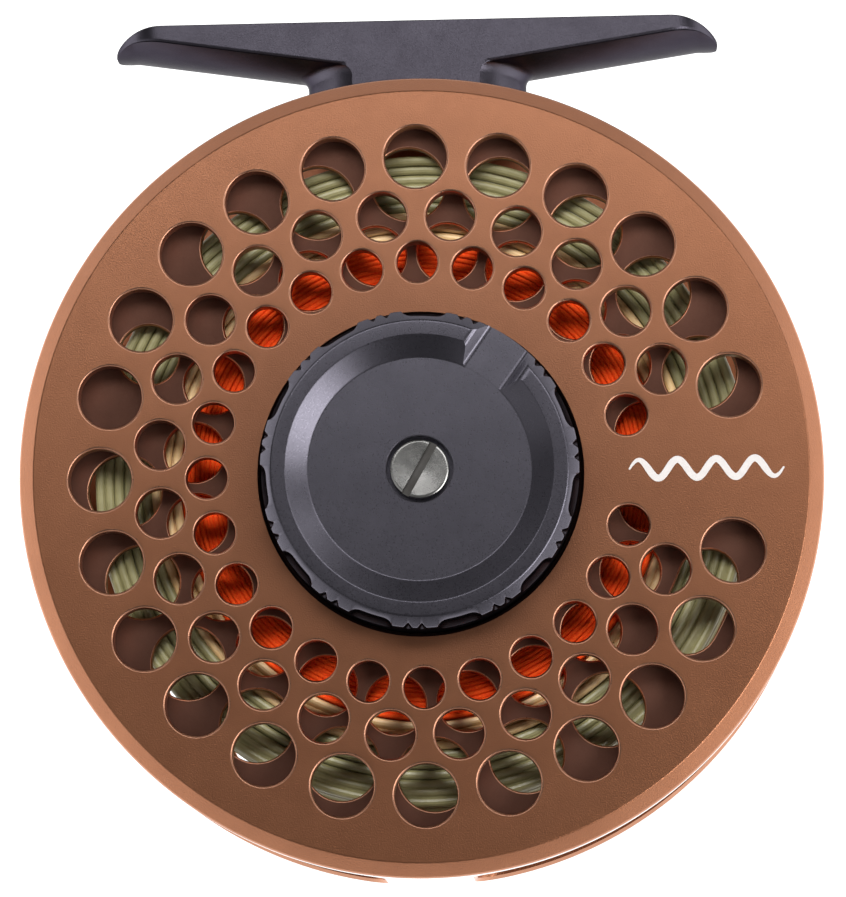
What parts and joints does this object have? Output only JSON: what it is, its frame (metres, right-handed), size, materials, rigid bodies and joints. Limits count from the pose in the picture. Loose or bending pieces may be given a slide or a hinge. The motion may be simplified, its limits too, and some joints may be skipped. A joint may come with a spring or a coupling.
{
  "type": "fly reel",
  "caption": "Large-arbor fly reel: ported cage frame, disc drag with dished knob, lift-off spool with line, handle and saddle foot.",
  "frame": {"origin": "middle of the foot's concave saddle, where the rod's reel seat touches it", "axes": "+X along the rod, +Z out of the foot towards the rod, -Y out of the drag knob and +Y out of the handle; the spindle axis runs along Y, 46.4 mm below the origin"},
  "size_m": [0.0826, 0.0519, 0.0898],
  "materials": {
    "copper_anodised": "fine bead-blasted aluminium, satin copper-brown anodising",
    "gunmetal_anodised": "machined aluminium, satin purple-grey gunmetal anodising",
    "stainless_steel": "turned stainless steel",
    "plain_aluminium": "plain machined aluminium",
    "bronze": "plain machined bronze",
    "carbon_fibre": "woven carbon friction disc",
    "seal_rubber": "black nitrile rubber",
    "green_fly_line": "olive green coated line, slightly waxy",
    "tan_running_line": "tan coated line, slightly waxy",
    "orange_backing": "braided orange polyester backing"
  },
  "bodies": {
    "reel_frame": {"frame": "copper_anodised", "foot": "gunmetal_anodised", "foot_screw_1": "stainless_steel", "foot_screw_2": "stainless_steel", "drag_cover": "plain_aluminium", "cover_seal": "seal_rubber", "knob_screw": "stainless_steel", "shaft_bearing": "stainless_steel", "shaft_seal": "seal_rubber", "shaft_bushing": "bronze", "steel_disc_1": "stainless_steel", "steel_disc_2": "stainless_steel", "pressure_plate": "stainless_steel", "belleville_spring": "stainless_steel", "pawl_pin": "stainless_steel", "pawl_spring": "stainless_steel"},
    "knob_body": {"drag_knob": "gunmetal_anodised", "detent_ball": "stainless_steel", "detent_spring": "stainless_steel"},
    "pusher_body": {"thrust_ring": "stainless_steel", "push_pin_1": "stainless_steel", "push_pin_2": "stainless_steel", "push_pin_3": "stainless_steel"},
    "drum_body": {"drag_drum": "plain_aluminium", "carbon_disc_1": "carbon_fibre", "carbon_disc_2": "carbon_fibre"},
    "shaft_body": {"drive_shaft": "stainless_steel", "one_way_clutch": "stainless_steel", "click_gear": "bronze"},
    "pawl_body": {"click_pawl": "stainless_steel"},
    "spool_body": {"spool": "copper_anodised", "backing": "orange_backing", "running_line": "tan_running_line", "fly_line": "green_fly_line", "counterweight": "gunmetal_anodised", "handle_post": "stainless_steel", "handle_screw": "stainless_steel", "cap_retainer": "stainless_steel"},
    "handle_body": {"handle_knob": "gunmetal_anodised"},
    "cap_body": {"spool_cap": "gunmetal_anodised"}
  },
  "joints": [
    {"name": "knob_turn", "type": "hinge", "parent": "reel_frame", "child": "knob_body", "pos_m": [0, 0, -0.0464], "axis": [0, 1, 0], "range_deg": [0, 300]},
    {"name": "drag_press", "type": "slide", "parent": "reel_frame", "child": "pusher_body", "axis": [0, 1, 0], "range_m": [0, 0.0005], "deforming": ["belleville_spring"]},
    {"name": "drum_spin", "type": "hinge", "parent": "reel_frame", "child": "drum_body", "pos_m": [0, 0, -0.0464], "axis": [0, 1, 0], "continuous": true},
    {"name": "shaft_spin", "type": "hinge", "parent": "reel_frame", "child": "shaft_body", "pos_m": [0, 0, -0.0464], "axis": [0, 1, 0], "continuous": true},
    {"name": "pawl_click", "type": "hinge", "parent": "reel_frame", "child": "pawl_body", "pos_m": [-0.01278, 0, -0.05105], "axis": [0, 1, 0], "range_deg": [-12, 12], "stiffness_Nm_per_rad": 0.01},
    {"name": "spool_lift", "type": "slide", "parent": "shaft_body", "child": "spool_body", "axis": [0, 1, 0], "range_m": [0, 0.028]},
    {"name": "handle_spin", "type": "hinge", "parent": "spool_body", "child": "handle_body", "pos_m": [-0.028, 0, -0.0331], "axis": [0, 1, 0], "continuous": true},
    {"name": "cap_turn", "type": "hinge", "parent": "spool_body", "child": "cap_body", "pos_m": [0, 0, -0.0464], "axis": [0, 1, 0], "range_deg": [0, 900]}
  ],
  "couplings": [
    {"joint": "drag_press", "follows": "knob_turn", "m_per_rad": 0.00009549}
  ]
}
